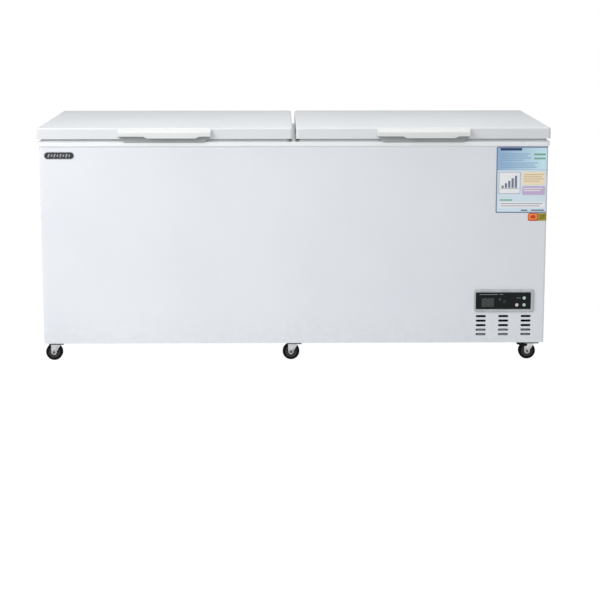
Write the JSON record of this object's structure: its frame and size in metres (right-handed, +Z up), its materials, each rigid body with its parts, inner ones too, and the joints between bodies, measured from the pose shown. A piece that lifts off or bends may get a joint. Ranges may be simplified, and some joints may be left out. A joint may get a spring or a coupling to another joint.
{
  "type": "chest freezer",
  "caption": "Wide chest freezer with twin solid hinged lids, front digital control panel and air slots, standing on swivel casters, one of them braked.",
  "frame": {"origin": "on the floor, under the middle of the freezer's box", "axes": "+X to the right seen from the front, +Y to the back, +Z up"},
  "size_m": [1.85, 0.748, 0.868],
  "materials": {
    "white_paint": "satin",
    "plain_sheet": "matte",
    "liner_sheet": "satin",
    "foam": "matte",
    "white_plastic": "satin",
    "copper_pipe": "satin",
    "fin_sheet": "satin",
    "black_paint": "gloss",
    "black_plastic": "matte",
    "black_rubber": "matte",
    "grey_rubber": "matte",
    "zinc_steel": "satin",
    "bright_steel": "polished",
    "silver_bezel": "satin",
    "dark_window": "gloss",
    "green_board": "satin",
    "display": "satin",
    "black_tyre": "matte"
  },
  "bodies": {
    "cabinet": {"cabinet_wrap": "white_paint", "back_panel": "plain_sheet", "base_pan": "plain_sheet", "inner_liner": "liner_sheet", "insulation_foam": "foam", "top_rim": "white_plastic", "centre_mullion": "white_plastic", "evaporator_coil": "copper_pipe", "drain_tube": "white_plastic", "compressor_tray": "plain_sheet", "compressor_shell": "black_paint", "compressor_grommets": "black_rubber", "terminal_cover": "black_plastic", "condenser_fins": "fin_sheet", "condenser_tubes": "copper_pipe", "fan_shroud": "black_paint", "fan_motor": "zinc_steel", "filter_drier": "copper_pipe", "refrigerant_pipes": "copper_pipe", "rear_grille": "white_paint", "grille_screws": "bright_steel", "cord_gland": "black_plastic", "control_bezel": "silver_bezel", "control_window": "dark_window", "control_board": "green_board", "digit_display": "display", "hinge_brackets": "zinc_steel", "hinge_pins": "bright_steel", "caster_plates": "zinc_steel", "caster_bolts": "bright_steel"},
    "left_lid": {"left_lid_skin": "white_paint", "left_lid_liner": "white_plastic", "left_lid_foam": "foam", "left_lid_gasket": "grey_rubber", "left_lid_handle": "white_plastic", "left_hinge_leaves": "zinc_steel"},
    "right_lid": {"right_lid_skin": "white_paint", "right_lid_liner": "white_plastic", "right_lid_foam": "foam", "right_lid_gasket": "grey_rubber", "right_lid_handle": "white_plastic", "right_hinge_leaves": "zinc_steel"},
    "fan": {"fan_blade": "black_plastic"},
    "drain_plug": {"drain_plug": "grey_rubber"},
    "button_up": {"button_up": "white_plastic"},
    "button_down": {"button_down": "white_plastic"},
    "button_set": {"button_set": "white_plastic"},
    "fork_front_left": {"fork_front_left": "zinc_steel"},
    "wheel_front_left": {"wheel_front_left": "black_tyre"},
    "fork_front_middle": {"fork_front_middle": "zinc_steel"},
    "wheel_front_middle": {"wheel_front_middle": "black_tyre"},
    "fork_front_right": {"fork_front_right": "zinc_steel"},
    "wheel_front_right": {"wheel_front_right": "black_tyre"},
    "fork_rear_left": {"fork_rear_left": "zinc_steel"},
    "wheel_rear_left": {"wheel_rear_left": "black_tyre"},
    "fork_rear_middle": {"fork_rear_middle": "zinc_steel"},
    "wheel_rear_middle": {"wheel_rear_middle": "black_tyre"},
    "fork_rear_right": {"fork_rear_right": "zinc_steel"},
    "wheel_rear_right": {"wheel_rear_right": "black_tyre"},
    "brake_pedal": {"brake_pedal": "black_plastic"}
  },
  "joints": [
    {"name": "left_lid_hinge", "type": "hinge", "parent": "cabinet", "child": "left_lid", "pos_m": [-0.46587, 0.359, 0.8235], "axis": [-1, 0, 0], "range_deg": [0, 80]},
    {"name": "right_lid_hinge", "type": "hinge", "parent": "cabinet", "child": "right_lid", "pos_m": [0.46587, 0.359, 0.8235], "axis": [-1, 0, 0], "range_deg": [0, 80]},
    {"name": "fan_spin", "type": "hinge", "parent": "cabinet", "child": "fan", "pos_m": [0.768, -0.1825, 0.1805], "axis": [0, 1, 0], "continuous": true},
    {"name": "button_up_press", "type": "slide", "parent": "cabinet", "child": "button_up", "axis": [0, 1, 0], "range_m": [0, 0.0009], "stiffness_N_per_m": 400, "springref_m": -0.0005},
    {"name": "button_down_press", "type": "slide", "parent": "cabinet", "child": "button_down", "axis": [0, 1, 0], "range_m": [0, 0.0009], "stiffness_N_per_m": 400, "springref_m": -0.0005},
    {"name": "button_set_press", "type": "slide", "parent": "cabinet", "child": "button_set", "axis": [0, 1, 0], "range_m": [0, 0.0009], "stiffness_N_per_m": 400, "springref_m": -0.0005},
    {"name": "drain_plug_lift", "type": "slide", "parent": "cabinet", "child": "drain_plug", "axis": [0, 0, 1], "range_m": [0, 0.05]},
    {"name": "swivel_front_left", "type": "hinge", "parent": "cabinet", "child": "fork_front_left", "pos_m": [-0.876, -0.2915, 0.067], "axis": [0, 0, 1], "continuous": true},
    {"name": "roll_front_left", "type": "hinge", "parent": "fork_front_left", "child": "wheel_front_left", "pos_m": [-0.888, -0.2915, 0.031], "axis": [0, 1, 0], "continuous": true},
    {"name": "swivel_front_middle", "type": "hinge", "parent": "cabinet", "child": "fork_front_middle", "pos_m": [0, -0.2915, 0.067], "axis": [0, 0, 1], "continuous": true},
    {"name": "roll_front_middle", "type": "hinge", "parent": "fork_front_middle", "child": "wheel_front_middle", "pos_m": [-0.012, -0.2915, 0.031], "axis": [0, 1, 0], "continuous": true},
    {"name": "swivel_front_right", "type": "hinge", "parent": "cabinet", "child": "fork_front_right", "pos_m": [0.876, -0.2915, 0.067], "axis": [0, 0, 1], "continuous": true},
    {"name": "roll_front_right", "type": "hinge", "parent": "fork_front_right", "child": "wheel_front_right", "pos_m": [0.864, -0.2915, 0.031], "axis": [0, 1, 0], "continuous": true},
    {"name": "swivel_rear_left", "type": "hinge", "parent": "cabinet", "child": "fork_rear_left", "pos_m": [-0.876, 0.2915, 0.067], "axis": [0, 0, 1], "continuous": true},
    {"name": "roll_rear_left", "type": "hinge", "parent": "fork_rear_left", "child": "wheel_rear_left", "pos_m": [-0.888, 0.2915, 0.031], "axis": [0, 1, 0], "continuous": true},
    {"name": "swivel_rear_middle", "type": "hinge", "parent": "cabinet", "child": "fork_rear_middle", "pos_m": [0, 0.2915, 0.067], "axis": [0, 0, 1], "continuous": true},
    {"name": "roll_rear_middle", "type": "hinge", "parent": "fork_rear_middle", "child": "wheel_rear_middle", "pos_m": [-0.012, 0.2915, 0.031], "axis": [0, 1, 0], "continuous": true},
    {"name": "swivel_rear_right", "type": "hinge", "parent": "cabinet", "child": "fork_rear_right", "pos_m": [0.876, 0.2915, 0.067], "axis": [0, 0, 1], "continuous": true},
    {"name": "roll_rear_right", "type": "hinge", "parent": "fork_rear_right", "child": "wheel_rear_right", "pos_m": [0.864, 0.2915, 0.031], "axis": [0, 1, 0], "continuous": true},
    {"name": "brake_press", "type": "hinge", "parent": "fork_front_right", "child": "brake_pedal", "pos_m": [0.858, -0.2915, 0.056], "axis": [0, -1, 0], "range_deg": [0, 10]}
  ]
}
